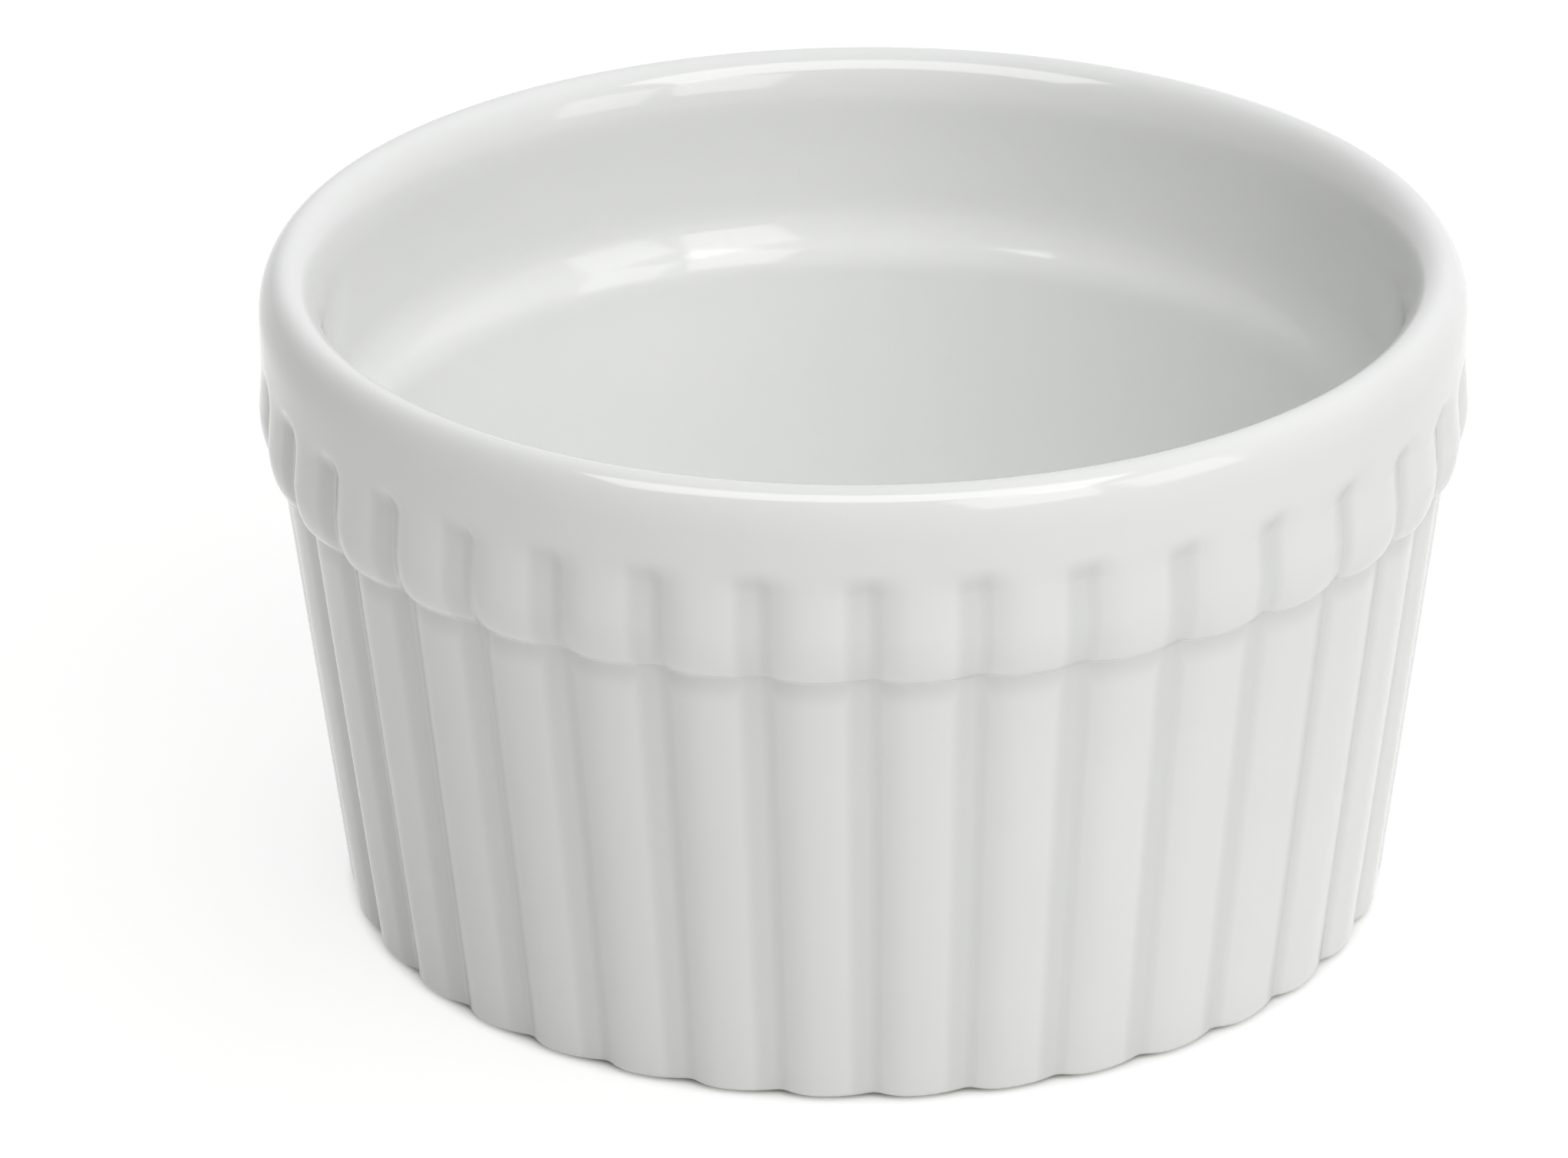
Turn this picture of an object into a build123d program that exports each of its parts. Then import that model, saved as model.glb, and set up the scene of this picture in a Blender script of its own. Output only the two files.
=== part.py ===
from build123d import *
import math
import os

# Fluted round ramekin of white glazed porcelain, 90 mm across its collar and 50 mm high.
# Millimetres, +Z up. The origin is the centre of the foot, on the table.
# The clay is one fired piece. On it lie two coats of fired glaze: one covers the outside,
# the lip and the inside, and the other lines the hollow under the base. The foot ring
# between them is bare. Nothing moves.
# A skin of zero is the glazed surface, and a skin of the glaze's thickness is the clay.

# Outside, over the glaze. Radii reach to the crests of the flutes, and the collar is widest at its foot.
overall_height = 50.0
collar_radius = 45.0
collar_taper = 0.24
collar_height = 14.55
collar_step = 1.36
base_radius = 39.5

# Flutes. The crest of a rib lies nearer to the groove before it than to the one after it.
flute_count = 36
flute_depth = 0.72
groove_radius = 1.2
crest_share = 0.40
groove_run_out = 2.2

# Rounded edges of the outside
collar_round_height = 3.9
crease_slope = 65.0
base_round_height = 0.5
base_round_depth = 0.4

# Lip, measured from its crest
plain_band_height = 2.2
lip_outer_width = 2.0
lip_outer_drop = 3.4
lip_inner_width = 2.7
lip_inner_drop = 5.0

# Inside, over the glaze. The shoulder starts above the crease outside, and the wall under it has
# the draft of the wall outside.
upper_wall_draft = 2.0
shoulder_rise = 3.4
shoulder_hollow_radius = 7.0
shoulder_edge_radius = 5.0
shoulder_slope = 36.0
floor_thickness = 3.9
floor_corner_radius = 7.0

# Foot ring, set back under the bottom edge of the wall, and the hollow inside it
foot_height = 0.3
foot_inset = 1.0
foot_width = 2.4
foot_edge_round = 0.15
hollow_depth = 1.6
hollow_corner_radius = 0.9

# Glaze, which pools in the grooves of the clay
glaze_thickness = 0.20
glaze_pool = 0.10
glaze_line_rise = 0.1
hollow_glaze_gap = 0.5

# Where the sections of the outside lie along each rounded edge
base_round_shares = (1.0, 0.9, 0.7)
crease_fillet_shares = (0.0, 0.5)
collar_round_shares = (1.0, 0.93, 0.8, 0.6, 0.35, 0.0)
run_out_steps = 5

cut_overrun = 5.0
height_margin = 0.001

# Sizes worked out from the ones above
quarter_turn = 90
pitch = math.radians(360 / flute_count)
front = math.radians(-quarter_turn)
crease_height = overall_height - collar_height
groove_top = overall_height - lip_outer_drop - plain_band_height
band_radius = collar_radius - collar_taper
crease_radius = collar_radius - collar_step
wall_draft = math.atan2(crease_radius - base_radius, crease_height)
lip_crest_radius = band_radius - lip_outer_width
floor_height = hollow_depth + floor_thickness
glaze_line_height = foot_height + glaze_line_rise
foot_radius = base_radius - base_round_depth - flute_depth - foot_inset
hollow_radius = foot_radius - foot_width


def flank_centre(crest, groove_centre, bottom_radius, angle):
    """How far from the axis the centre of a flank's arc lies, at the given angle from the groove."""
    reach = crest + bottom_radius
    return (reach**2 - groove_centre**2) / (2 * (reach - groove_centre * math.cos(angle)))


def groove_edge(groove_centre, bottom_radius, centre, angle):
    """The point, as radius and angle, where the groove's arc runs into a flank's arc."""
    x = centre * math.cos(angle) - groove_centre
    y = centre * math.sin(angle)
    part = bottom_radius / math.hypot(x, y)
    return math.hypot(groove_centre + x * part, y * part), math.atan2(y * part, groove_centre + x * part)


def flank_point(crest, centre, turn):
    """Radius of a flank's arc at an angle away from the rib's crest."""
    return centre * math.cos(turn) + math.sqrt((crest - centre) ** 2 - (centre * math.sin(turn)) ** 2)


def rib_outline(crest, depth, bottom_radius):
    """A groove and the rib after it as radii and angles: the ends and middles of three touching arcs."""
    groove_centre = crest - depth + bottom_radius
    rise = pitch * crest_share
    fall = pitch - rise
    steep = flank_centre(crest, groove_centre, bottom_radius, rise)
    gentle = flank_centre(crest, groove_centre, bottom_radius, fall)
    start = groove_edge(groove_centre, bottom_radius, gentle, -fall)
    end = groove_edge(groove_centre, bottom_radius, steep, rise)
    half_rise = (rise - end[1]) / 2
    half_fall = (fall + start[1]) / 2
    return [
        start,
        (crest - depth, 0.0),
        end,
        (flank_point(crest, steep, half_rise), rise - half_rise),
        (crest, rise),
        (flank_point(crest, gentle, half_fall), rise + half_fall),
        (start[0], start[1] + pitch),
    ]


def fluted_section(height, crest, fade, skin):
    """The fluted outline at one height. Fade 0 has the full flutes and fade 1 is a plain circle."""
    depth = flute_depth + (glaze_pool if skin else 0)
    rib = rib_outline(crest - skin, depth, groove_radius - skin)
    edges = []
    for index in range(flute_count):
        points = []
        for radius, angle in rib:
            faded = radius + (crest - skin - radius) * fade
            turned = angle + front + index * pitch
            points.append((faded * math.cos(turned), faded * math.sin(turned), height))
        for first in range(0, len(points) - 1, 2):
            edges.append(ThreePointArc(points[first], points[first + 1], points[first + 2]).edge())
    return Wire(edges)


def quarter_round(share):
    """How far an elliptical edge has turned in at a share of its run, from 0 to 1."""
    return 1 - math.sqrt(1 - share**2)


def smooth_step(share):
    return share**2 * (3 - 2 * share)


def wall_crest(height):
    """Crest radius of the tapered lower wall, and of the rounding at its foot."""
    straight = base_radius + math.tan(wall_draft) * height
    share = max(0.0, 1 - (height - foot_height) / base_round_height)
    return straight - base_round_depth * quarter_round(share)


def base_levels():
    """Height, crest radius and fade of each section round the bottom edge of the wall."""
    heights = [foot_height + base_round_height * (1 - share) for share in base_round_shares]
    below = [height for height in heights if height < glaze_line_height - height_margin]
    levels = [(height, wall_crest(height), 0.0) for height in below + [glaze_line_height]]
    round_top = foot_height + base_round_height
    if glaze_line_height < round_top - height_margin:
        levels.append((round_top, wall_crest(round_top), 0.0))
    return levels


def crease_levels():
    """Sections of the soft crease below the collar and of the collar's rounded lower edge."""
    slope = math.radians(crease_slope)
    last_share = 1 / math.hypot(1, collar_step / (collar_round_height * math.tan(slope)))
    round_top = crease_height + collar_round_height
    meeting_height = round_top - collar_round_height * last_share
    meeting_crest = collar_radius - collar_step * quarter_round(last_share)
    closing = math.cos(wall_draft) - math.cos(slope)
    closing -= math.tan(wall_draft) * (math.sin(slope) - math.sin(wall_draft))
    fillet_radius = (meeting_crest - wall_crest(meeting_height)) / closing
    levels = []
    for share in crease_fillet_shares:
        angle = wall_draft + (slope - wall_draft) * share
        fall = fillet_radius * (math.sin(slope) - math.sin(angle))
        run = fillet_radius * (math.cos(angle) - math.cos(slope))
        levels.append((meeting_height - fall, meeting_crest - run, 0.0))
    for share in collar_round_shares:
        down = last_share * share
        crest = collar_radius - collar_step * quarter_round(down)
        levels.append((round_top - collar_round_height * down, crest, 0.0))
    return levels


def run_out_levels():
    """Sections of the collar where the grooves fade into the plain band under the lip."""
    levels = []
    for step in range(run_out_steps + 1):
        share = step / run_out_steps
        levels.append((groove_top - groove_run_out * (1 - share), band_radius, smooth_step(share)))
    return levels


def fluted_wall(skin, lowest):
    """The solid inside the fluted outside, from the lowest height to the top of the grooves."""
    levels = base_levels() + crease_levels() + run_out_levels()
    kept = [level for level in levels if level[0] > lowest - height_margin]
    return Solid.make_loft([fluted_section(*level, skin) for level in kept], ruled=True)


def lip_block(skin):
    """The round block above the grooves, as far in as the axis and up to the crest of the lip."""
    outer = band_radius - skin
    top = overall_height - skin
    round_start = overall_height - lip_outer_drop
    middle = (lip_crest_radius, round_start)
    width = lip_outer_width - skin
    drop = lip_outer_drop - skin
    with BuildSketch(Plane.XZ) as profile:
        with BuildLine():
            Polyline((lip_crest_radius, top), (0, top), (0, groove_top))
            Polyline((0, groove_top), (outer, groove_top), (outer, round_start))
            EllipticalCenterArc(middle, width, drop, 0, arc_size=quarter_turn)
        make_face()
    return revolve(profile.sketch, Axis.Z)


def cavity(skin):
    """The space inside: lip, upper wall, shoulder, lower wall, rounded corner and flat floor."""
    mouth = overall_height + cut_overrun
    wall_top = overall_height - lip_inner_drop
    wall_radius = lip_crest_radius - lip_inner_width + skin
    shoulder_height = crease_height + shoulder_rise
    drift = (wall_top - shoulder_height) * math.tan(math.radians(upper_wall_draft))
    shoulder_start = (wall_radius - drift, shoulder_height)
    lower_wall_draft = math.degrees(wall_draft)
    floor = floor_height - skin
    corner = floor_corner_radius + skin
    corner_height = floor + corner * (1 - math.sin(wall_draft))
    middle = (lip_crest_radius, wall_top)
    width = lip_inner_width - skin
    drop = lip_inner_drop - skin
    with BuildSketch(Plane.XZ) as profile:
        with BuildLine():
            EllipticalCenterArc(middle, width, drop, quarter_turn, arc_size=quarter_turn)
            upper = Line((wall_radius, wall_top), shoulder_start)
            bend_in = upper_wall_draft - shoulder_slope
            inward = JernArc(upper @ 1, upper % 1, shoulder_hollow_radius + skin, bend_in)
            bend_out = shoulder_slope - lower_wall_draft
            back = JernArc(inward @ 1, inward % 1, shoulder_edge_radius - skin, bend_out)
            wall_foot = (back @ 1).X - ((back @ 1).Y - corner_height) * math.tan(wall_draft)
            lower = Line(back @ 1, (wall_foot, corner_height))
            bend = JernArc(lower @ 1, lower % 1, corner, lower_wall_draft - quarter_turn)
            Polyline(bend @ 1, (0, floor), (0, mouth), (lip_crest_radius, mouth))
            Line((lip_crest_radius, mouth), (lip_crest_radius, overall_height - skin))
        make_face()
    return revolve(profile.sketch, Axis.Z)


def foot_hollow(skin):
    """The hollow under the base, with a rounded corner inside and a rounded edge at the foot ring."""
    edge = hollow_radius + skin
    depth = hollow_depth + skin
    corner = hollow_corner_radius + skin
    mouth = edge + foot_edge_round
    with BuildSketch(Plane.XZ) as profile:
        with BuildLine():
            Polyline((0, depth), (0, -cut_overrun), (mouth, -cut_overrun), (mouth, 0))
            CenterArc((mouth, foot_edge_round), foot_edge_round, -quarter_turn, -quarter_turn)
            Line((edge, foot_edge_round), (edge, depth - corner))
            CenterArc((edge - corner, depth - corner), corner, 0, quarter_turn)
            Line((edge - corner, depth), (0, depth))
        make_face()
    return revolve(profile.sketch, Axis.Z)


def foot_disc():
    """The round disc under the cup that becomes the foot ring when its middle is hollowed out."""
    edge = foot_radius - foot_edge_round
    with BuildSketch(Plane.XZ) as profile:
        with BuildLine():
            Polyline((edge, 0), (0, 0), (0, glaze_line_height), (foot_radius, glaze_line_height))
            Line((foot_radius, glaze_line_height), (foot_radius, foot_edge_round))
            CenterArc((edge, foot_edge_round), foot_edge_round, 0, -quarter_turn)
        make_face()
    return revolve(profile.sketch, Axis.Z)


def vessel(skin, lowest):
    """The cup, from the lowest height up, without its foot."""
    return fluted_wall(skin, lowest) + lip_block(skin) - cavity(skin)


def porcelain_body(clay):
    """The fired clay: the cup on its foot, hollowed out from below."""
    return clay + foot_disc() - foot_hollow(glaze_thickness)


def glaze_coat(clay):
    """The glaze on the outside, lip and inside: two cup surfaces joined by a ring at the glaze line."""
    glazed = vessel(0, glaze_line_height)
    surfaces = glazed.faces() + clay.faces()
    walls = [face for face in surfaces if face.center().Z > glaze_line_height + height_margin]
    line = (glaze_line_height, wall_crest(glaze_line_height), 0.0)
    ring = Face(fluted_section(*line, 0), [fluted_section(*line, glaze_thickness)])
    return Solid(Shell(walls + [ring]))


def underside_glaze():
    """The glaze that lines the hollow and stops short of the foot ring's edge."""
    clear = Cylinder(collar_radius, cut_overrun * 2, align=(Align.CENTER, Align.CENTER, Align.MAX))
    return foot_hollow(glaze_thickness) - foot_hollow(0) - Pos(0, 0, hollow_glaze_gap) * clear


os.makedirs("parts", exist_ok=True)
clay_cup = vessel(glaze_thickness, 0)
export_step(porcelain_body(clay_cup), "parts/porcelain_body.step")
export_step(glaze_coat(clay_cup), "parts/glaze_coat.step")
export_step(underside_glaze(), "parts/underside_glaze.step")
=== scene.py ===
# %% [markdown]
# # A fluted porcelain ramekin
# The real object is a small baking dish: one piece of fired porcelain with a gloss glaze over
# nearly all of it. Only the ring that it stands on is left bare. The solids of the dish are
# loaded first, and everything here is put round them in metres, with +Z up and the origin on
# the table under the middle of the dish.
# The bare porcelain keeps its own solid. The two coats of glaze are modelled afresh, because
# they are what the eye sees: soft ribs, rounded edges and reflections need many close rings.

# %% Load the solids
import bpy
import bmesh
import math
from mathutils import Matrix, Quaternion, Vector


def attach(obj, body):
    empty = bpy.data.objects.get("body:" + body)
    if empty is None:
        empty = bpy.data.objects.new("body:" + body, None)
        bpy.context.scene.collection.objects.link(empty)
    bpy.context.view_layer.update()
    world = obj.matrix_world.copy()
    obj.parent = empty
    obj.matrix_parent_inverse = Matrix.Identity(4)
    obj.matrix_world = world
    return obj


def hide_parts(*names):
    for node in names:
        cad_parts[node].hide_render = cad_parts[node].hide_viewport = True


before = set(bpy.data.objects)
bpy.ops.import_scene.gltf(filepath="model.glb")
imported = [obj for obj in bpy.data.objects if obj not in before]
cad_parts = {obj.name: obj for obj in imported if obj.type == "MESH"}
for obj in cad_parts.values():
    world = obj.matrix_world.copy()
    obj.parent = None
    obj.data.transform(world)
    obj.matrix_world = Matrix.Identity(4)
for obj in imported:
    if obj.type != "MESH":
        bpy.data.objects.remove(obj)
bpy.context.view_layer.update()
mm = 0.001

# %% [markdown]
# ## The camera
# The photograph was taken through a long lens from about half a metre away. It looks down at
# 25 degrees, so the dish shows the shoulder inside it but not its floor. The place, the lens
# and a slight tilt were worked out from the outline of the dish. A camera looks along its own
# -Z axis with +Y up, which is what the track quaternion turns it to.

# %% Place the camera
photo_width = 2043
focal_length_pixels = 9110
sensor_width = 36.0
nearest_seen = 10 * mm
camera_place = Vector((-6.06, -479.84, 245.53)) * mm
camera_aim = Vector((-6.06, 0.0, 23.30)) * mm
camera_tilt = math.radians(-0.61)

camera_data = bpy.data.cameras.new("photo_camera")
camera_data.sensor_width = sensor_width
camera_data.lens = focal_length_pixels / photo_width * sensor_width
camera_data.clip_start = nearest_seen
camera = bpy.data.objects.new("photo_camera", camera_data)
bpy.context.collection.objects.link(camera)
sight = camera_aim - camera_place
turned = sight.to_track_quat("-Z", "Y") @ Quaternion((0, 0, 1), camera_tilt)
camera.location = camera_place
camera.rotation_euler = turned.to_euler()
bpy.context.scene.camera = camera
print("lens %.1f mm, %.0f mm from its aim" % (camera_data.lens, sight.length / mm))

# %% [markdown]
# ## The table
# The dish stands on a white table that runs back out of the picture. One large plane is enough
# for it, as its edges are never seen.

# %% Lay the table
table_size = 6.0

bpy.ops.object.select_all(action="DESELECT")
bpy.ops.mesh.primitive_plane_add(size=table_size, location=(0, 0, 0))
table = bpy.context.object
table.name = "table_top"
print("%s is %.1f m wide" % (table.name, table.dimensions.x))

# %% [markdown]
# ## The white of the table
# To the light that falls on it, the table is matt pale card, which keeps the soft shadow of the
# dish. To the camera and in reflections, that card is mixed with a plain white glow, so that it
# turns as white as the room behind it. A material is a tree of small nodes. This cell makes the
# two things to mix, and the next two cells make the share of the glow.

# %% Make the card and the glow
card_colour = (0.95, 0.945, 0.93, 1)
pure_white = (1, 1, 1, 1)
glow_strength = 1.12


def new_material(name):
    """A material with an empty node tree and its output."""
    material = bpy.data.materials.new(name)
    material.use_nodes = True
    nodes = material.node_tree.nodes
    nodes.clear()
    return material, nodes, material.node_tree.links, nodes.new("ShaderNodeOutputMaterial")


table_card, nodes, links, output = new_material("table_card")
card = nodes.new("ShaderNodeBsdfDiffuse")
card.inputs["Color"].default_value = card_colour
glow = nodes.new("ShaderNodeEmission")
glow.inputs["Color"].default_value = pure_white
glow.inputs["Strength"].default_value = glow_strength
print("%s: %d nodes" % (table_card.name, len(nodes)))

# %% [markdown]
# ## Where the table glows
# Under the dish there is no glow, which leaves a thin dark gap below its bottom edge. Beside the
# dish the glow is kept to a share, so that the shade on the card still shows, and further out
# it grows to full. The share depends on the distance from the axis of the dish, which
# Object coordinates give, and each step of it eases in softly.

# %% Let the glow grow with distance
near_share = 0.7
near_start = 38.0 * mm
near_end = 40.2 * mm
far_start = 55 * mm
far_end = 130 * mm


def calculate(nodes, links, operation, first, second=0.0):
    """A math node. Each value is a number or the output of another node."""
    node = nodes.new("ShaderNodeMath")
    node.operation = operation
    for value, socket in zip((first, second), node.inputs):
        if isinstance(value, float):
            socket.default_value = value
        else:
            links.new(value, socket)
    return node.outputs[0]


def ease(nodes, links, value, start, end):
    """Goes softly from 0 at the start to 1 at the end."""
    node = nodes.new("ShaderNodeMapRange")
    node.interpolation_type = "SMOOTHSTEP"
    links.new(value, node.inputs["Value"])
    node.inputs["From Min"].default_value = start
    node.inputs["From Max"].default_value = end
    return node.outputs["Result"]


def place_on_piece(nodes, links):
    """Object coordinates, then distance from the axis of the dish, angle round it and height."""
    coordinates = nodes.new("ShaderNodeTexCoord").outputs["Object"]
    split = nodes.new("ShaderNodeSeparateXYZ")
    links.new(coordinates, split.inputs[0])
    x, y, height = split.outputs
    squares = [calculate(nodes, links, "POWER", value, 2.0) for value in (x, y)]
    radius = calculate(nodes, links, "SQRT", calculate(nodes, links, "ADD", *squares))
    return coordinates, radius, calculate(nodes, links, "ARCTAN2", y, x), height


radius = place_on_piece(nodes, links)[1]
near_glow = ease(nodes, links, radius, near_start, near_end)
near_glow = calculate(nodes, links, "MULTIPLY", near_glow, near_share)
far_glow = ease(nodes, links, radius, far_start, far_end)
glow_share = calculate(nodes, links, "MAXIMUM", near_glow, far_glow)
print("%s: %d nodes" % (table_card.name, len(nodes)))

# %% [markdown]
# ## Who sees the glow
# Light Path tells what kind of ray has met the surface. The glow is there only for the camera
# and for what gloss or glass shows, so it never adds light to the dish.

# %% Show the glow to the eye alone
def seen_or_mirrored(nodes, links):
    """One for what the camera sees and for what gloss or glass shows, and zero for other light."""
    path = nodes.new("ShaderNodeLightPath").outputs
    seen = calculate(nodes, links, "MAXIMUM", path["Is Camera Ray"], path["Is Glossy Ray"])
    return calculate(nodes, links, "MAXIMUM", seen, path["Is Transmission Ray"])


def mix_shaders(nodes, links, share, first, second, output):
    """Sends a mix of two shaders to the output. The share is that of the second one."""
    blend = nodes.new("ShaderNodeMixShader")
    links.new(share, blend.inputs["Fac"])
    links.new(first.outputs[0], blend.inputs[1])
    links.new(second.outputs[0], blend.inputs[2])
    links.new(blend.outputs[0], output.inputs["Surface"])


glow_share = calculate(nodes, links, "MULTIPLY", glow_share, seen_or_mirrored(nodes, links))
mix_shaders(nodes, links, glow_share, card, glow, output)
table.data.materials.append(table_card)
print("%s: %d nodes" % (table_card.name, len(nodes)))

# %% [markdown]
# ## The room
# A white room stands round the table. The camera and the gloss see it at a strength of 1, which
# is pure white. It gives no light of its own, so that the lamps alone shape the dish.

# %% Paint the room
room_light = 0.0
room_white = 1.0


def white_background(nodes, strength):
    background = nodes.new("ShaderNodeBackground")
    background.inputs["Color"].default_value = pure_white
    background.inputs["Strength"].default_value = strength
    return background


scene = bpy.context.scene
scene.view_settings.view_transform = "Standard"
room = bpy.data.worlds.new("white_room")
scene.world = room
room.use_nodes = True
nodes, links = room.node_tree.nodes, room.node_tree.links
nodes.clear()
output = nodes.new("ShaderNodeOutputWorld")
unlit_room = white_background(nodes, room_light)
seen_room = white_background(nodes, room_white)
mix_shaders(nodes, links, seen_or_mirrored(nodes, links), unlit_room, seen_room, output)
print("%s: %d nodes" % (room.name, len(nodes)))

# %% [markdown]
# ## The soft light
# The picture is lit like a product shot, with most light from above and from the right, which
# leaves the left side grey. Five broad lamps give that light. They would show as hard panels in
# the gloss, so reflections leave them out.

# %% Hang the soft lamps
cool_white = (0.975, 0.995, 1)
warm_white = (1, 1, 0.96)
pale_yellow = (1, 1, 0.7)


def hang_lamp(name, turn, height, distance, width, tall, power, tint=(1, 1, 1)):
    """A rectangular lamp aimed at the dish, in metres and watts. Its turn to the right of the
    camera and its height above the table are angles in degrees."""
    turn, height = math.radians(turn), math.radians(height)
    data = bpy.data.lights.new(name, "AREA")
    data.color = tint
    data.shape = "RECTANGLE"
    data.size = width
    data.size_y = tall
    data.energy = power
    lamp = bpy.data.objects.new(name, data)
    bpy.context.collection.objects.link(lamp)
    across = distance * math.cos(height)
    up = distance * math.sin(height)
    place = Vector((across * math.sin(turn), -across * math.cos(turn), up))
    lamp.location = place
    lamp.rotation_euler = (-place).to_track_quat("-Z", "Y").to_euler()
    print("%s at %s, %.2f W" % (name, [round(value, 2) for value in place], power))
    return lamp


soft_lamps = [
    hang_lamp("right_wall", turn=45, height=42, distance=1.35, width=1.7, tall=1.3, power=10.6),
    hang_lamp("ceiling", turn=0, height=89.9, distance=1.2, width=1.4, tall=1.4, power=7.6,
              tint=cool_white),
    hang_lamp("left_card", turn=-80, height=35, distance=1.2, width=0.9, tall=0.9, power=0.1,
              tint=pale_yellow),
    hang_lamp("front_card", turn=0, height=38, distance=1.2, width=1.4, tall=0.9, power=3.0,
              tint=warm_white),
    hang_lamp("back_card", turn=150, height=45, distance=1.2, width=0.9, tall=0.9, power=3.8)]
for lamp in soft_lamps:
    lamp.visible_glossy = False

# %% [markdown]
# ## What the gloss mirrors
# A wide window high over the camera draws the thin bright line round the lip. Two brighter panes
# on the right show as a pair on the shoulder inside the dish. They are only there to be
# mirrored, so the matt part of the surface leaves their light out.

# %% Hang the mirrored panes
mirrored_panes = [
    hang_lamp("sky_window", turn=-3, height=66, distance=0.6, width=0.78, tall=0.27, power=2.4),
    hang_lamp("pane_near", turn=31, height=37, distance=0.5, width=0.185, tall=0.21, power=0.29),
    hang_lamp("pane_far", turn=60.5, height=32, distance=0.5, width=0.175, tall=0.20,
              power=0.205)]
for lamp in mirrored_panes:
    lamp.visible_diffuse = False

# %% [markdown]
# ## The ribs
# Seen from above, the outside of the dish is a ring of thirty-six shallow ribs with narrow
# rounded grooves between them. Each rib is a lopsided arch: its crest lies nearer to the
# groove on its left. The left flank is short and steep, and the right flank is long and gentle.
# Every rib gets the same few points, closest together where it bends most.

# %% Sizes of the ribs
collar_radius = 45.0 * mm
flute_count = 36
flute_depth = 0.72 * mm
groove_radius = 1.2 * mm
crest_share = 0.40
groove_steps = 3
steep_steps = 5
gentle_steps = 7

pitch = math.radians(360 / flute_count)
rib_points = 2 * groove_steps + steep_steps + gentle_steps
ring_points = flute_count * rib_points
print("ribs %.2f mm apart, %d points round a ring" % (pitch * collar_radius / mm, ring_points))

# %% [markdown]
# ## The arcs of one rib
# Three arcs that run smoothly into each other draw one rib: a groove, and a flank on each side
# of the crest. A flank's arc touches the groove's arc from outside, and its centre lies on the
# line from the axis to the crest, so the two flanks meet there without an edge. That alone
# settles where the centres are.

# %% Work out the arcs
def flank_centre(crest, groove_centre, angle):
    """How far from the axis the centre of a flank's arc lies, at an angle from the groove."""
    reach = crest + groove_radius
    return (reach**2 - groove_centre**2) / (2 * (reach - groove_centre * math.cos(angle)))


def groove_edge(groove_centre, centre, angle):
    """Where the groove's arc runs into a flank's arc: the direction from the groove's centre."""
    return math.atan2(centre * math.sin(angle), centre * math.cos(angle) - groove_centre)


def groove_point(groove_centre, swing):
    """Radius and angle of the groove's point that lies in a direction from the groove's centre."""
    x = groove_centre + groove_radius * math.cos(swing)
    y = groove_radius * math.sin(swing)
    return math.hypot(x, y), math.atan2(y, x)


def flank_radius(crest, centre, turn):
    """How far from the axis a flank lies, at an angle from the crest."""
    return centre * math.cos(turn) + math.sqrt((crest - centre)**2 - (centre * math.sin(turn))**2)


collar_groove = collar_radius - flute_depth + groove_radius
steep_centre = flank_centre(collar_radius, collar_groove, pitch * crest_share)
print("radius of the steep flank's arc: %.2f mm" % ((collar_radius - steep_centre) / mm))

# %% [markdown]
# ## The points of one rib
# The points go round from the bottom of one groove to the bottom of the next, as a radius and
# an angle each. The last point is left out, because it is the first one of the next rib.

# %% Put points on the arcs
def rib_shape(crest):
    """Radius and angle of the points along one rib whose crest lies at a radius."""
    groove_centre = crest - flute_depth + groove_radius
    rise = pitch * crest_share
    fall = pitch - rise
    steep = flank_centre(crest, groove_centre, rise)
    gentle = flank_centre(crest, groove_centre, fall)
    right_edge = groove_edge(groove_centre, steep, rise)
    left_edge = groove_edge(groove_centre, gentle, -fall)
    points = []
    for step in range(groove_steps + 1):
        swing = math.pi + (right_edge - math.pi) * step / groove_steps
        points.append(groove_point(groove_centre, swing))
    edge_angle = points[-1][1]
    for step in range(1, steep_steps + 1):
        turn = (rise - edge_angle) * (1 - step / steep_steps)
        points.append((flank_radius(crest, steep, turn), rise - turn))
    next_groove = []
    for step in range(groove_steps):
        swing = left_edge + (-math.pi - left_edge) * step / groove_steps
        radius, angle = groove_point(groove_centre, swing)
        next_groove.append((radius, angle + pitch))
    edge_angle = next_groove[0][1]
    for step in range(1, gentle_steps):
        turn = (edge_angle - rise) * step / gentle_steps
        points.append((flank_radius(crest, gentle, turn), rise + turn))
    return points + next_groove


rib_radii = [radius for radius, angle in rib_shape(collar_radius)]
print("%d points, %.2f mm deep" % (len(rib_radii), (max(rib_radii) - min(rib_radii)) / mm))

# %% [markdown]
# ## Sizes of the outside
# From the table up there is a small rounding, then the tapered wall. A soft crease leads into
# the collar, whose lower edge is rounded and whose side is nearly upright. A short distance
# under the lip the grooves run out into a plain band. All radii are those of the ribs' crests.

# %% Sizes of the outside
overall_height = 50.0 * mm
collar_height = 14.55 * mm
collar_step = 1.36 * mm
collar_taper = 0.24 * mm
base_radius = 39.5 * mm
base_round_height = 0.5 * mm
base_round_depth = 0.4 * mm
foot_height = 0.3 * mm
glaze_line_height = 0.4 * mm
plain_band_height = 2.2 * mm
groove_run_out = 2.2 * mm
lip_outer_width = 2.0 * mm
lip_outer_drop = 3.4 * mm

crease_height = overall_height - collar_height
crease_radius = collar_radius - collar_step
band_radius = collar_radius - collar_taper
groove_top = overall_height - lip_outer_drop - plain_band_height
wall_draft = math.atan2(crease_radius - base_radius, crease_height)
print("the wall leans %.1f degrees, the grooves end at z %.1f mm" % (
    math.degrees(wall_draft), groove_top / mm))

# %% [markdown]
# ## Profile of the wall
# The profile is a list of levels, a height and a crest radius each, from the glaze line up. The
# rounding at the bottom is a quarter of an ellipse, so it gets a few close rings. The straight
# wall above it needs only three more, which keep its faces from getting too long.

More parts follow.
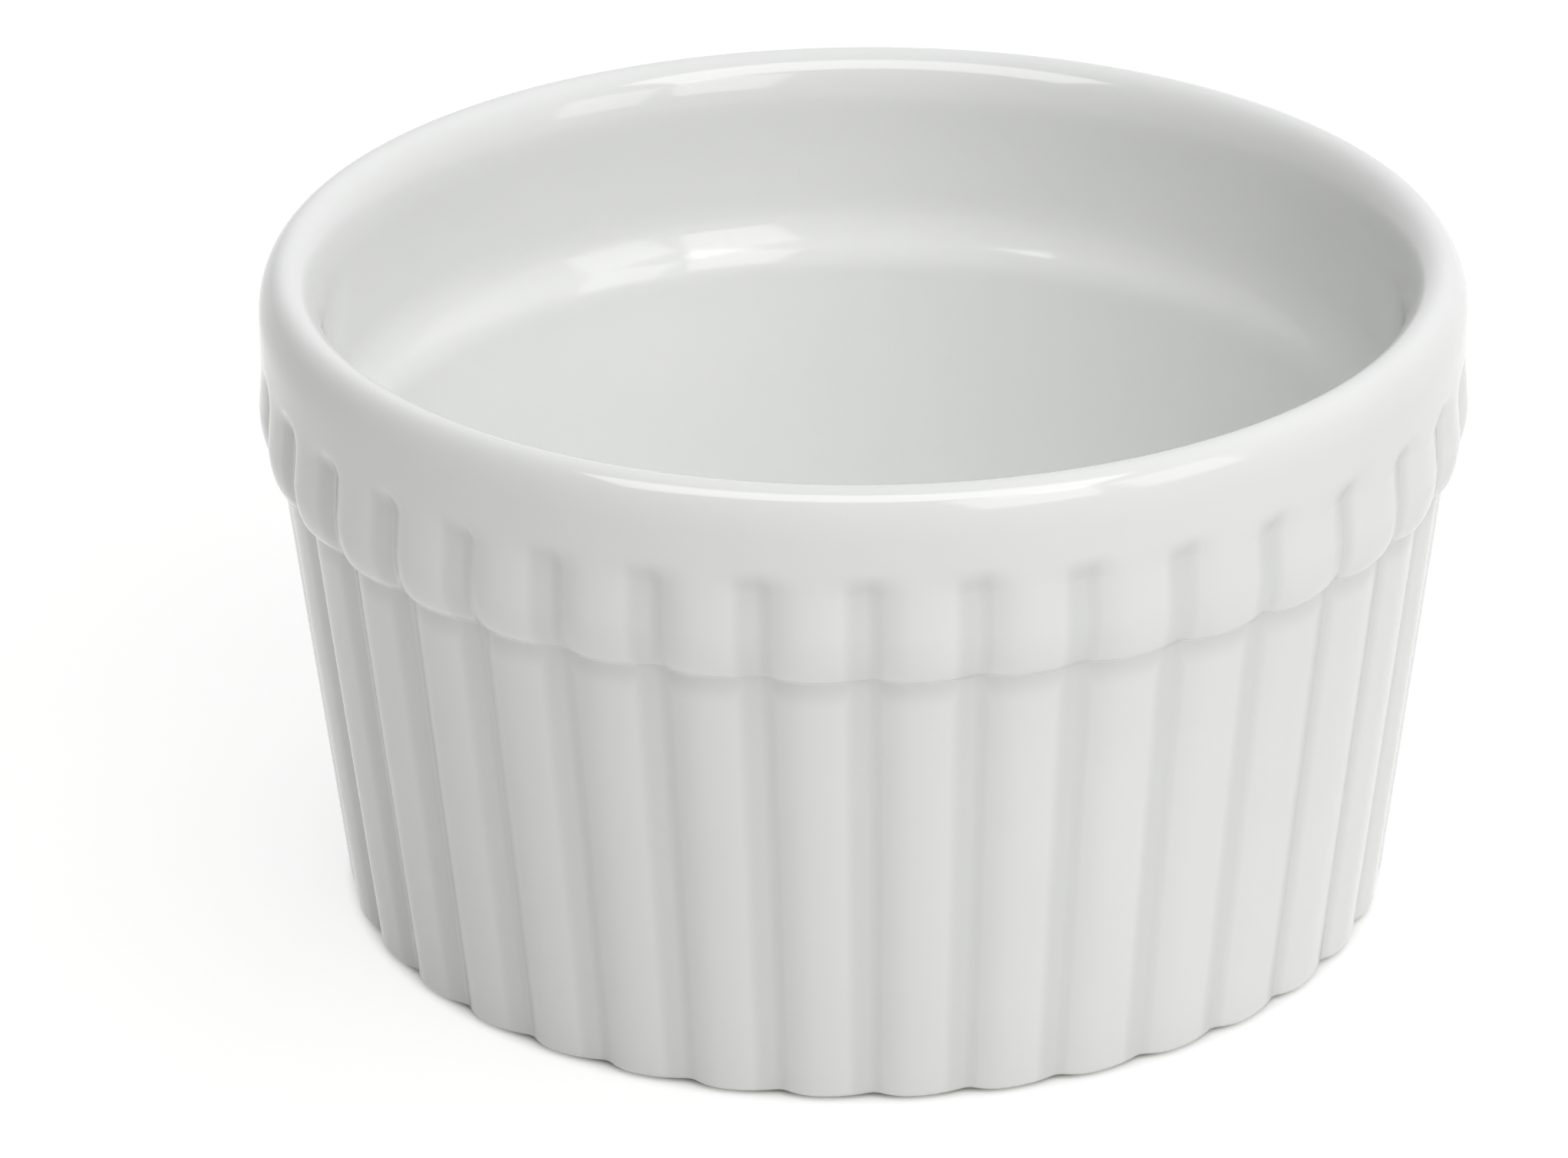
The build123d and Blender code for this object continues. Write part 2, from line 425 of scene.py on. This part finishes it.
# %% Levels of the wall
base_steps = 4
wall_ring_heights = (8 * mm, 17 * mm, 26 * mm)


def quarter_round(share):
    """How far a quarter of an ellipse has turned in at a share of its run, from 0 to 1."""
    return 1 - math.sqrt(max(0.0, 1 - share**2))


def wall_crest(height):
    """Crest radius of the tapered wall and of the rounding at its foot."""
    share = max(0.0, 1 - (height - foot_height) / base_round_height)
    return base_radius + math.tan(wall_draft) * height - base_round_depth * quarter_round(share)


rise = foot_height + base_round_height - glaze_line_height
heights = [glaze_line_height + rise * (step / base_steps) ** 2 for step in range(base_steps + 1)]
wall_levels = [(height, wall_crest(height)) for height in (*heights, *wall_ring_heights)]
print("%d rings up to z %.1f mm" % (len(wall_levels), wall_levels[-1][0] / mm))

# %% [markdown]
# ## Profile of the crease
# Under the collar the wall turns outwards in a hollow arc, until it leans as much as the crease
# slope says. There it meets the rounded lower edge of the collar, another quarter of an
# ellipse. The hollow arc gets the one radius that makes it touch both the wall and the collar.

# %% Levels of the crease and the collar
collar_round_height = 3.9 * mm
crease_slope = math.radians(65)
crease_steps = 5
collar_edge_steps = 10


def crease_levels():
    """The hollow curve under the collar, then the collar's rounded lower edge."""
    last = 1 / math.hypot(1, collar_step / (collar_round_height * math.tan(crease_slope)))
    top = crease_height + collar_round_height
    meeting_height = top - collar_round_height * last
    meeting_crest = collar_radius - collar_step * quarter_round(last)
    closing = math.cos(wall_draft) - math.cos(crease_slope)
    closing -= math.tan(wall_draft) * (math.sin(crease_slope) - math.sin(wall_draft))
    hollow = (meeting_crest - wall_crest(meeting_height)) / closing
    levels = []
    for step in range(crease_steps):
        angle = wall_draft + (crease_slope - wall_draft) * step / crease_steps
        fall = hollow * (math.sin(crease_slope) - math.sin(angle))
        run = hollow * (math.cos(angle) - math.cos(crease_slope))
        levels.append((meeting_height - fall, meeting_crest - run))
    steepest = math.asin(last)
    for step in range(collar_edge_steps + 1):
        share = math.sin(steepest * (1 - step / collar_edge_steps))
        crest = collar_radius - collar_step * quarter_round(share)
        levels.append((top - collar_round_height * share, crest))
    return levels


collar_end = (groove_top - groove_run_out, band_radius)
outside_levels = wall_levels + crease_levels() + [collar_end]
for low, high in zip(outside_levels, outside_levels[1:]):
    assert high[0] > low[0]
print("%d rings up to z %.1f mm" % (len(outside_levels), outside_levels[-1][0] / mm))

# %% [markdown]
# ## The first ring
# Grooves cut into a plain cup would leave sharp edges and stray faces. So the glaze is grown
# ring by ring instead, the way a potter's wall goes up. It starts as a circle of edges at the
# glaze line, just above the table, with a vertex for each point of each rib. The same point of
# all ribs is selected at once, turned round the axis to its angle and scaled out to its radius.
# Vertices are selected by number, which Blender gives out in the order in which they are made.

# %% Shape the first ring
def start_ring(name, points, radius, height):
    """A new object with one circle of edges, left in edit mode with the circle selected."""
    bpy.ops.object.select_all(action="DESELECT")
    bpy.ops.mesh.primitive_circle_add(vertices=points, radius=radius, location=(0, 0, height))
    piece = bpy.context.object
    piece.name = name
    bpy.ops.object.transform_apply(location=True, rotation=True, scale=True)
    bpy.ops.object.mode_set(mode="EDIT")
    return piece


def select_vertices(piece, numbers):
    """Selects vertices by number, and the edges between them."""
    bpy.ops.mesh.select_all(action="DESELECT")
    mesh = bmesh.from_edit_mesh(piece.data)
    mesh.verts.ensure_lookup_table()
    for number in numbers:
        mesh.verts[number].select = True
    mesh.select_flush_mode()
    bmesh.update_edit_mesh(piece.data)


def scale_ring(height, ratio):
    bpy.ops.transform.resize(value=(ratio, ratio, 1), center_override=(0, 0, height))


def vertex_count(piece):
    return len(bmesh.from_edit_mesh(piece.data).verts)


glaze = start_ring("gloss_glaze", ring_points, base_radius, glaze_line_height)
ring_middle = (0, 0, glaze_line_height)
base_crest = outside_levels[0][1]
for number, (radius, angle) in enumerate(rib_shape(base_crest)):
    select_vertices(glaze, range(number, ring_points, rib_points))
    shift = angle - number * pitch / rib_points
    bpy.ops.transform.rotate(value=-shift, orient_axis="Z", center_override=ring_middle)
    scale_ring(glaze_line_height, radius / base_radius)
print("%d vertices" % vertex_count(glaze))

# %% [markdown]
# ## Up the wall and round the collar
# The newest ring is extruded, and then pushed outwards to its new radius. Scaling it would
# make the ribs deeper with every ring. A push moves all points by the same distance, so the ribs
# stay as deep as they are from the table to the collar.

# %% Grow the ribbed outside
def extrude_ring(step):
    bpy.ops.mesh.extrude_region_move(TRANSFORM_OT_translate={"value": (0, 0, step)})


def push_ring(height, distance):
    """Moves the ring outwards by a distance. The operator counts towards the centre."""
    bpy.ops.transform.push_pull(value=-distance, center_override=(0, 0, height))


def grow_ribbed(levels):
    """Extrudes the ring through heights and crest radii. It lies at the first of them already."""
    for (height, crest), (next_height, next_crest) in zip(levels, levels[1:]):
        extrude_ring(next_height - height)
        push_ring(next_height, next_crest - crest)


select_vertices(glaze, range(ring_points))
grow_ribbed(outside_levels)
print("%d vertices" % vertex_count(glaze))

# %% [markdown]
# ## Where the grooves run out
# Near the lip the grooves get shallower and end in the plain band. To Sphere moves each
# point of a ring towards the ring's mean radius, which makes the ribs shallower by a share and
# leaves their form. A push then brings the crests back to where they belong.

# %% Fade the grooves out
run_out_steps = 8


def smooth_step(share):
    return share**2 * (3 - 2 * share)


mean_radius = sum(radius for radius, angle in rib_shape(band_radius)) / rib_points
crest_above_mean = band_radius - mean_radius
height = groove_top - groove_run_out
kept = 1.0
for step in range(1, run_out_steps + 1):
    next_kept = 1 - smooth_step(step / run_out_steps)
    extrude_ring(groove_run_out / run_out_steps)
    height += groove_run_out / run_out_steps
    bpy.ops.transform.tosphere(value=1 - next_kept / kept, center_override=(0, 0, height))
    push_ring(height, crest_above_mean * (kept - next_kept))
    kept = next_kept
print("%d vertices, plain from z %.1f mm" % (vertex_count(glaze), height / mm))

# %% [markdown]
# ## Profile of the lip
# The lip is two quarters of ellipses that meet at its crest: a short one outside and a longer
# one inside. The skin is how far behind the surface a profile runs. It is zero here, and the
# hidden side of the glaze will follow the same lines a little deeper.

# %% Levels over the lip
lip_inner_width = 2.7 * mm
lip_inner_drop = 5.0 * mm
lip_steps = 12
quarter_turn = math.radians(90)
lip_crest_radius = band_radius - lip_outer_width


def lip_levels(skin, steps):
    """Heights and radii over the lip, from the plain band to the upper wall inside."""
    levels = []
    for step in range(steps + 1):
        swing = quarter_turn * step / steps
        rise = (lip_outer_drop - skin) * math.sin(swing)
        reach = (lip_outer_width - skin) * math.cos(swing)
        levels.append((overall_height - lip_outer_drop + rise, lip_crest_radius + reach))
    for step in range(1, steps + 1):
        swing = quarter_turn * step / steps
        rise = (lip_inner_drop - skin) * math.cos(swing)
        reach = (lip_inner_width - skin) * math.sin(swing)
        levels.append((overall_height - lip_inner_drop + rise, lip_crest_radius - reach))
    return levels


lip = lip_levels(0, lip_steps)
print("%d rings over the lip, its crest at r %.2f mm" % (len(lip), lip[lip_steps][1] / mm))

# %% [markdown]
# ## Profile of the inside
# The upper wall falls almost straight to a shoulder, where the dish narrows, and the
# lower wall runs down to a wide rounded corner and the flat floor. A small pen that knows its
# place and heading writes these points along arcs, and the straight walls are the stretches
# between one arc and the next.

# %% Levels down the inside
upper_wall_draft = math.radians(2.0)
shoulder_rise = 3.4 * mm
shoulder_slope = math.radians(36)
shoulder_hollow_radius = 7.0 * mm
shoulder_edge_radius = 5.0 * mm
floor_height = 5.5 * mm
floor_corner_radius = 7.0 * mm
shoulder_steps = 8
corner_steps = 12


def arc_walk(place, heading, radius, turn, steps):
    """Points of an arc that starts in the heading. A positive turn bends it towards the axis."""
    side = 1 if turn > 0 else -1
    points = []
    for step in range(1, steps + 1):
        now = heading + turn * step / steps
        height = place[0] - side * radius * (math.sin(now) - math.sin(heading))
        reach = place[1] + side * radius * (math.cos(now) - math.cos(heading))
        points.append((height, reach))
    return points


def inside_levels(skin, arc_steps, floor_arc_steps):
    """Heights and radii down the inside to the edge of the flat floor."""
    wall_top = overall_height - lip_inner_drop
    fall = wall_top - crease_height - shoulder_rise
    top_radius = lip_crest_radius - lip_inner_width + skin
    start = (crease_height + shoulder_rise, top_radius - fall * math.tan(upper_wall_draft))
    bend_in = shoulder_slope - upper_wall_draft
    hollow = shoulder_hollow_radius + skin
    into = arc_walk(start, upper_wall_draft, hollow, bend_in, arc_steps)
    bend_out = wall_draft - shoulder_slope
    edge = shoulder_edge_radius - skin
    out = arc_walk(into[-1], shoulder_slope, edge, bend_out, arc_steps)
    corner = floor_corner_radius + skin
    corner_height = floor_height - skin + corner * (1 - math.sin(wall_draft))
    foot = (corner_height, out[-1][1] - (out[-1][0] - corner_height) * math.tan(wall_draft))
    bend = arc_walk(foot, wall_draft, corner, quarter_turn - wall_draft, floor_arc_steps)
    return [start] + into + out + [foot] + bend


inside = inside_levels(0, shoulder_steps, corner_steps)
for title, number in (("shoulder", 0), ("lower wall", 2 * shoulder_steps), ("floor", -1)):
    height, radius = inside[number]
    print("%s from z %.2f, r %.2f mm" % (title, height / mm, radius / mm))

# %% [markdown]
# ## Over the lip and down the inside
# From the plain band on, every ring is a plain circle, so scaling is enough to bring it to its
# radius. Two more rings lie on the flat floor, and the last one is merged to a point in the
# middle, which closes the dish.

# %% Grow the lip and the inside
floor_ring_shares = (0.66, 0.33)


def grow_plain(levels):
    """Extrudes the ring through heights and radii. It lies at the first of them already."""
    for (height, radius), (next_height, next_radius) in zip(levels, levels[1:]):
        extrude_ring(next_height - height)
        scale_ring(next_height, next_radius / radius)


def close_ring():
    """Closes the newest ring with faces that meet in its middle."""
    extrude_ring(0)
    bpy.ops.mesh.merge(type="CENTER")


floor_rings = [(inside[-1][0], inside[-1][1] * share) for share in floor_ring_shares]
grow_plain([(groove_top, band_radius)] + lip + inside + floor_rings)
close_ring()
print("%d vertices" % vertex_count(glaze))

# %% [markdown]
# ## The hidden side of the glaze
# A coat of glaze is thin but solid, so its mesh has a back as well, a fifth of a millimetre
# behind the front. Nobody sees it, so it gets few rings. It starts at the glaze line, just
# above the table, and closes under the floor of the dish.

# %% Grow the back of the glaze
glaze_thickness = 0.20 * mm
back_lip_steps = 4
back_shoulder_steps = 3
back_corner_steps = 5


def every_second(levels):
    """Every second level, and the last one in any case."""
    return levels[:-1:2] + levels[-1:]


select_vertices(glaze, range(ring_points))
extrude_ring(0)
push_ring(glaze_line_height, -glaze_thickness)
wall_back = [outside_levels[0], outside_levels[base_steps]]
grow_ribbed(wall_back + every_second(crease_levels()) + [collar_end])
extrude_ring(groove_run_out)
bpy.ops.transform.tosphere(value=1.0, center_override=(0, 0, groove_top))
push_ring(groove_top, crest_above_mean)
plain_back = [(groove_top, band_radius - glaze_thickness)]
plain_back += lip_levels(glaze_thickness, back_lip_steps)
plain_back += inside_levels(glaze_thickness, back_shoulder_steps, back_corner_steps)
grow_plain(plain_back)
close_ring()
print("%d vertices" % vertex_count(glaze))

# %% [markdown]
# ## Finish the coat
# Points that lie on each other are merged and the faces are turned outwards. Smooth shading
# joins the rings, and its angle limit keeps the end of the glaze above the foot crisp. A closed
# mesh has no open edges, so their number is printed with its volume.

# %% Finish the coat of glaze
doubles_distance = 0.001 * mm
smooth_angle = math.radians(50)


def finish_piece(piece):
    """Merges doubles, turns the faces outwards, and shades the piece smooth up to an angle."""
    bpy.ops.mesh.select_all(action="SELECT")
    bpy.ops.mesh.remove_doubles(threshold=doubles_distance)
    bpy.ops.mesh.normals_make_consistent(inside=False)
    bpy.ops.object.mode_set(mode="OBJECT")
    bpy.ops.object.select_all(action="DESELECT")
    piece.select_set(True)
    bpy.context.view_layer.objects.active = piece
    bpy.ops.object.shade_smooth_by_angle(angle=smooth_angle)
    piece.data.calc_loop_triangles()
    triangles = len(piece.data.loop_triangles)
    mesh = bmesh.new()
    mesh.from_mesh(piece.data)
    open_edges = sum(1 for edge in mesh.edges if not edge.is_manifold)
    volume = mesh.calc_volume(signed=True) / mm**3
    mesh.free()
    print("%s: %d triangles, %d open edges, %.0f mm3" % (piece.name, triangles, open_edges, volume))


finish_piece(glaze)

# %% [markdown]
# ## Glaze under the base
# The hollow inside the foot ring is glazed too, like a shallow saucer turned over. It is grown
# the same way, from its edge near the table to its middle, and back again behind.

# %% Line the hollow under the base
foot_inset = 1.0 * mm
foot_width = 2.4 * mm
hollow_depth = 1.6 * mm
hollow_corner_radius = 0.9 * mm
hollow_glaze_gap = 0.5 * mm
hollow_points = 240
hollow_steps = 8
back_hollow_steps = 4
hollow_ring_shares = (0.7, 0.4)
hollow_radius = base_radius - base_round_depth - flute_depth - foot_inset - foot_width


def hollow_levels(skin, steps):
    """Heights and radii from the edge of the lining up its side and round its corner."""
    corner = hollow_corner_radius + skin
    levels = [(hollow_glaze_gap, hollow_radius + skin)]
    for step in range(steps + 1):
        swing = quarter_turn * step / steps
        height = hollow_depth + skin - corner * (1 - math.sin(swing))
        levels.append((height, hollow_radius + skin - corner * (1 - math.cos(swing))))
    return levels


lining = start_ring("base_glaze", hollow_points, hollow_radius, hollow_glaze_gap)
front = hollow_levels(0, hollow_steps)
grow_plain(front + [(front[-1][0], front[-1][1] * share) for share in hollow_ring_shares])
close_ring()
select_vertices(lining, range(hollow_points))
grow_plain([front[0]] + hollow_levels(glaze_thickness, back_hollow_steps))
close_ring()
finish_piece(lining)

# %% [markdown]
# ## Pooled glaze and painted shade
# Melted glaze runs off the crests and gathers in hollows, where the thicker glass looks a
# little greyer. The grooves are darkened partly for that pooled glaze and partly with painted
# shade, the dark that a groove's sides keep in. The tone of the glaze is a node group, and its
# first nodes find the hollows. The grooves repeat thirty-six times round the axis, so a cosine of
# the angle finds them all, a touch to one side of their middle. The crease under the collar is a
# band of heights, darkened with painted shade under the overhanging collar. Both count only
# outside, beyond the middle of the wall.

# %% Find the hollows on the outside
# Sets the pooled glaze and painted shade a touch to one side of each groove's middle.
pool_and_shade_shift = math.radians(0.8)
groove_wave_start = 0.25
groove_wave_full = 1.0
groove_fade = 1.6 * mm
crease_start_below = 2.4 * mm
crease_full_below = 0.5 * mm
crease_fade_below = 0.4 * mm
crease_end_above = 0.1 * mm
crease_strength = 0.7
wall_middle_radius = 37.2 * mm
wall_middle_lean = 0.1


def new_group(name, *outputs):
    """An empty node group, its nodes and links, and the node that takes what it gives out."""
    group = bpy.data.node_groups.new(name, "ShaderNodeTree")
    for title, kind in outputs:
        group.interface.new_socket(name=title, in_out="OUTPUT", socket_type=kind)
    return group, group.nodes, group.links, group.nodes.new("NodeGroupOutput")


glaze_tone, nodes, links, given = new_group("glaze_tone", ("Colour", "NodeSocketColor"))
coordinates, radius, angle, height = place_on_piece(nodes, links)
# The groove mask is partly pooled glaze and partly painted shade in the grooves.
wave = calculate(nodes, links, "ADD", angle, pool_and_shade_shift)
wave = calculate(nodes, links, "MULTIPLY", wave, float(flute_count))
wave = calculate(nodes, links, "COSINE", wave)
groove = ease(nodes, links, wave, groove_wave_start, groove_wave_full)
under_band = ease(nodes, links, height, groove_top, groove_top - groove_fade)
groove = calculate(nodes, links, "MULTIPLY", groove, under_band)
# The crease band is painted shade, the dark under the overhanging collar.
crease_start = crease_height - crease_start_below
rising = ease(nodes, links, height, crease_start, crease_height - crease_full_below)
crease_end = crease_height + crease_end_above
ending = ease(nodes, links, height, crease_end, crease_height - crease_fade_below)
crease = calculate(nodes, links, "MULTIPLY", rising, ending)
crease = calculate(nodes, links, "MULTIPLY", crease, crease_strength)
wall_middle = calculate(nodes, links, "MULTIPLY", height, wall_middle_lean)
wall_middle = calculate(nodes, links, "ADD", wall_middle, wall_middle_radius)
outside = calculate(nodes, links, "GREATER_THAN", radius, wall_middle)
pool_and_shade = calculate(nodes, links, "MAXIMUM", groove, crease)
pool_and_shade = calculate(nodes, links, "MULTIPLY", pool_and_shade, outside)
print("%s: %d nodes" % (glaze_tone.name, len(nodes)))

# %% [markdown]
# ## The white of the glaze
# White glaze is never one flat white. A slow noise gives it a faint cloudiness between two
# tones, and a grey for pooled glaze and painted shade takes over in the grooves and the crease.

# %% Colour the clouds, the pools and the painted shade
clear_colour = (0.823, 0.827, 0.820, 1)
cloud_colour = (0.808, 0.813, 0.806, 1)
# Grey of pooled glaze and of painted shade in the grooves and the crease.
pool_and_shade_colour = (0.718, 0.726, 0.713, 1)
cloud_scale = 60.0
cloud_detail = 3.0
cloud_start = 0.35
cloud_full = 0.75


def blend_colours(nodes, links, share, first, second):
    """A colour between two others. Each is a colour or the output of another node."""
    node = nodes.new("ShaderNodeMix")
    node.data_type = "RGBA"
    links.new(share, node.inputs["Factor"])
    for value, socket in ((first, node.inputs[6]), (second, node.inputs[7])):
        if isinstance(value, tuple):
            socket.default_value = value
        else:
            links.new(value, socket)
    return node.outputs[2]


def noise(nodes, links, coordinates, scale, detail):
    """Soft random patches. The scale is about how many fit in a metre."""
    node = nodes.new("ShaderNodeTexNoise")
    links.new(coordinates, node.inputs["Vector"])
    node.inputs["Scale"].default_value = scale
    node.inputs["Detail"].default_value = detail
    return node.outputs["Fac"]


clouds = noise(nodes, links, coordinates, cloud_scale, cloud_detail)
clouds = ease(nodes, links, clouds, cloud_start, cloud_full)
tone = blend_colours(nodes, links, clouds, clear_colour, cloud_colour)
# Pooled glaze and painted shade darken the grooves and the crease.
tone = blend_colours(nodes, links, pool_and_shade, tone, pool_and_shade_colour)
print("%s: %d nodes" % (glaze_tone.name, len(nodes)))

# %% [markdown]
# ## Specks from the kiln
# A few tiny brown specks are baked into any white glaze. Voronoi cuts space into cells and
# gives each a random colour, of which one channel picks a few cells in a hundred. A dot is drawn
# round the middle of each cell that was picked.

# %% Add the specks
speck_colour = (0.42, 0.38, 0.32, 1)
speck_cells = 110.0
speck_chance = 0.955
speck_rim = 0.035
speck_core = 0.012
speck_strength = 0.6

cells = nodes.new("ShaderNodeTexVoronoi")
cells.inputs["Scale"].default_value = speck_cells
links.new(coordinates, cells.inputs["Vector"])
chance = nodes.new("ShaderNodeSeparateColor")
links.new(cells.outputs["Color"], chance.inputs[0])
chosen = calculate(nodes, links, "GREATER_THAN", chance.outputs[0], speck_chance)
dot = ease(nodes, links, cells.outputs["Distance"], speck_rim, speck_core)
speck = calculate(nodes, links, "MULTIPLY", chosen, dot)
speck = calculate(nodes, links, "MULTIPLY", speck, speck_strength)
links.new(blend_colours(nodes, links, speck, tone, speck_colour), given.inputs["Colour"])
print("%s: %d nodes" % (glaze_tone.name, len(nodes)))

# %% [markdown]
# ## Skin of the glaze
# Fired gloss is never quite even. A very low, wide ripple bends the reflections a little, like
# the peel of an orange, and the gloss is a touch duller in soft patches.

# %% Node group for the skin of the glaze
glossy = 0.06
less_glossy = 0.11
patch_scale = 90.0
patch_detail = 4.0
ripple_scale = 260.0
ripple_detail = 1.0
ripple_strength = 0.5
ripple_height = 0.02 * mm


def roughness_between(nodes, links, value, first, second):
    """The first roughness where the value is 0 and the second one where it is 1."""
    node = nodes.new("ShaderNodeMapRange")
    links.new(value, node.inputs["Value"])
    node.inputs["To Min"].default_value = first
    node.inputs["To Max"].default_value = second
    return node.outputs["Result"]


def bump(nodes, links, value, strength, distance):
    """Normals of a surface that a value raises by up to a distance."""
    node = nodes.new("ShaderNodeBump")
    node.inputs["Strength"].default_value = strength
    node.inputs["Distance"].default_value = distance
    links.new(value, node.inputs["Height"])
    return node.outputs["Normal"]


glaze_skin, nodes, links, given = new_group(
    "glaze_skin", ("Roughness", "NodeSocketFloat"), ("Normal", "NodeSocketVector"))
coordinates = nodes.new("ShaderNodeTexCoord").outputs["Object"]
patches = noise(nodes, links, coordinates, patch_scale, patch_detail)
ripple = noise(nodes, links, coordinates, ripple_scale, ripple_detail)
gloss = roughness_between(nodes, links, patches, glossy, less_glossy)
links.new(gloss, given.inputs["Roughness"])
links.new(bump(nodes, links, ripple, ripple_strength, ripple_height), given.inputs["Normal"])
print("%s: %d nodes" % (glaze_skin.name, len(nodes)))

# %% [markdown]
# ## White gloss glaze
# The glaze is one hard glossy layer over white, so a plain Principled shader with the
# refractive index of glass is enough. The two node groups give it its colour, its gloss and its
# ripple. Both coats of glaze take this one material.

# %% White gloss glaze
glass_index = 1.5


def use_group(nodes, group):
    node = nodes.new("ShaderNodeGroup")
    node.node_tree = group
    return node.outputs


def fired_surface(nodes, links, output, colour, roughness, normal):
    """A Principled shader for glaze or bare porcelain, fed by what changes over the surface."""
    shader = nodes.new("ShaderNodeBsdfPrincipled")
    shader.inputs["IOR"].default_value = glass_index
    links.new(colour, shader.inputs["Base Color"])
    links.new(roughness, shader.inputs["Roughness"])
    links.new(normal, shader.inputs["Normal"])
    links.new(shader.outputs[0], output.inputs["Surface"])


white_glaze, nodes, links, output = new_material("white_gloss_glaze")
tone = use_group(nodes, glaze_tone)
skin = use_group(nodes, glaze_skin)
fired_surface(nodes, links, output, tone["Colour"], skin["Roughness"], skin["Normal"])
for piece in (glaze, lining):
    piece.data.materials.append(white_glaze)
print("%s: %d nodes" % (white_glaze.name, len(nodes)))

# %% [markdown]
# ## Bare porcelain
# The ring that the dish stands on is bare: matt, a little warmer than the glaze, and with a fine
# grain. Its lowest part is rubbed grey and a bit smoother in places, where it slides over
# shelves. The rest of this piece is hidden behind the glaze, so it keeps the shape of its
# solid and only gets a material of its own.

# %% Bare porcelain
dark_grain_colour = (0.76, 0.75, 0.72, 1)
light_grain_colour = (0.81, 0.80, 0.77, 1)
scuff_colour = (0.56, 0.56, 0.545, 1)
grain_scale = 4200.0
grain_detail = 2.0
grain_start = 0.3
grain_full = 0.7
scuff_scale = 420.0
scuff_detail = 5.0
scuff_start = 0.52
scuff_full = 0.68
matt = 0.75
rubbed_matt = 0.55
tooth_strength = 0.4
tooth_height = 0.01 * mm

bare_porcelain, nodes, links, output = new_material("bare_porcelain")
coordinates, radius, angle, height = place_on_piece(nodes, links)
grain = noise(nodes, links, coordinates, grain_scale, grain_detail)
scuffs = noise(nodes, links, coordinates, scuff_scale, scuff_detail)
scuffs = ease(nodes, links, scuffs, scuff_start, scuff_full)
near_table = ease(nodes, links, height, foot_height, 0.0)
rubbed = calculate(nodes, links, "MULTIPLY", scuffs, near_table)
colour = ease(nodes, links, grain, grain_start, grain_full)
colour = blend_colours(nodes, links, colour, dark_grain_colour, light_grain_colour)
colour = blend_colours(nodes, links, rubbed, colour, scuff_colour)
dullness = roughness_between(nodes, links, rubbed, matt, rubbed_matt)
tooth = bump(nodes, links, grain, tooth_strength, tooth_height)
fired_surface(nodes, links, output, colour, dullness, tooth)
body = bpy.data.objects["porcelain_body"]
body.data.materials.clear()
body.data.materials.append(bare_porcelain)
print("%s: %d nodes" % (bare_porcelain.name, len(nodes)))

# %% [markdown]
# ## Join the pieces to the solids
# Each coat of glaze stands for the solid of the same place, which is then hidden. It rides on
# the one body of the dish, as nothing on it moves.

# %% Join the pieces to the solids
for piece, solid in ((glaze, "glaze_coat"), (lining, "underside_glaze")):
    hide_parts(solid)
    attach(piece, "root")
    print("%s stands for %s" % (piece.name, solid))
